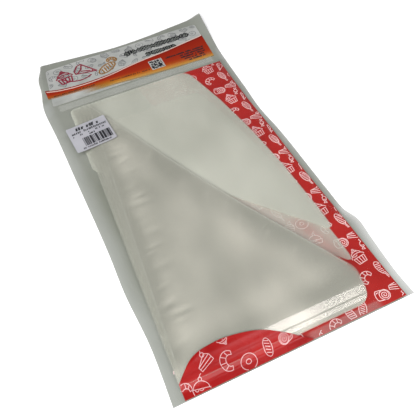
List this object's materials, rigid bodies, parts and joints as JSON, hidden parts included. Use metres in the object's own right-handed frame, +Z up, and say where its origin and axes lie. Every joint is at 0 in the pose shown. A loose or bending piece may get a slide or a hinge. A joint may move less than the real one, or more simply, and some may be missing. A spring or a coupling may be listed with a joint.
{
  "type": "piping bag pack",
  "caption": "Flat retail pack of disposable clear piping bags in a clear film pouch with a printed header and a lip that opens.",
  "frame": {"origin": "middle of the pack's footprint, on the surface it lies on", "axes": "+X across the pack, +Y from the bottom fold to the header, +Z up off the surface"},
  "size_m": [0.2134, 0.41, 0.0071],
  "materials": {
    "pouch_film": "clear glossy film",
    "bag_film": "hazy clear film",
    "tape": "clear adhesive strip",
    "header_ink": "printed film",
    "red_ink": "red printed film",
    "label_paper": "semi-gloss label paper"
  },
  "bodies": {
    "pouch": {"pouch_back_film": "pouch_film", "pouch_front_film": "pouch_film", "closure_tape": "tape", "header_print": "header_ink", "back_print": "red_ink", "front_print": "red_ink", "barcode_label": "label_paper"},
    "lip": {"pouch_lip": "pouch_film"},
    "bag_1": {"piping_bag_1": "bag_film"},
    "bag_2": {"piping_bag_2": "bag_film"},
    "bag_3": {"piping_bag_3": "bag_film"},
    "bag_4": {"piping_bag_4": "bag_film"},
    "bag_5": {"piping_bag_5": "bag_film"},
    "bag_6": {"piping_bag_6": "bag_film"},
    "bag_7": {"piping_bag_7": "bag_film"},
    "bag_8": {"piping_bag_8": "bag_film"},
    "bag_9": {"piping_bag_9": "bag_film"},
    "bag_10": {"piping_bag_10": "bag_film"}
  },
  "joints": [
    {"name": "lip_fold", "type": "hinge", "parent": "pouch", "child": "lip", "pos_m": [0, 0.116, 0.0069], "axis": [1, 0, 0], "range_deg": [0, 150]},
    {"name": "bag_1_slide", "type": "slide", "parent": "pouch", "child": "bag_1", "axis": [0, 1, 0], "range_m": [0, 0.289]},
    {"name": "bag_2_slide", "type": "slide", "parent": "pouch", "child": "bag_2", "axis": [0, 1, 0], "range_m": [0, 0.289]},
    {"name": "bag_3_slide", "type": "slide", "parent": "pouch", "child": "bag_3", "axis": [0, 1, 0], "range_m": [0, 0.256]},
    {"name": "bag_4_slide", "type": "slide", "parent": "pouch", "child": "bag_4", "axis": [0, 1, 0], "range_m": [0, 0.256]},
    {"name": "bag_5_slide", "type": "slide", "parent": "pouch", "child": "bag_5", "axis": [0, 1, 0], "range_m": [0, 0.256]},
    {"name": "bag_6_slide", "type": "slide", "parent": "pouch", "child": "bag_6", "axis": [0, 1, 0], "range_m": [0, 0.325]},
    {"name": "bag_7_slide", "type": "slide", "parent": "pouch", "child": "bag_7", "axis": [0, 1, 0], "range_m": [0, 0.325]},
    {"name": "bag_8_slide", "type": "slide", "parent": "pouch", "child": "bag_8", "axis": [0, 1, 0], "range_m": [0, 0.325]},
    {"name": "bag_9_slide", "type": "slide", "parent": "pouch", "child": "bag_9", "axis": [0, 1, 0], "range_m": [0, 0.325]},
    {"name": "bag_10_slide", "type": "slide", "parent": "pouch", "child": "bag_10", "axis": [0, 1, 0], "range_m": [0, 0.325]}
  ]
}
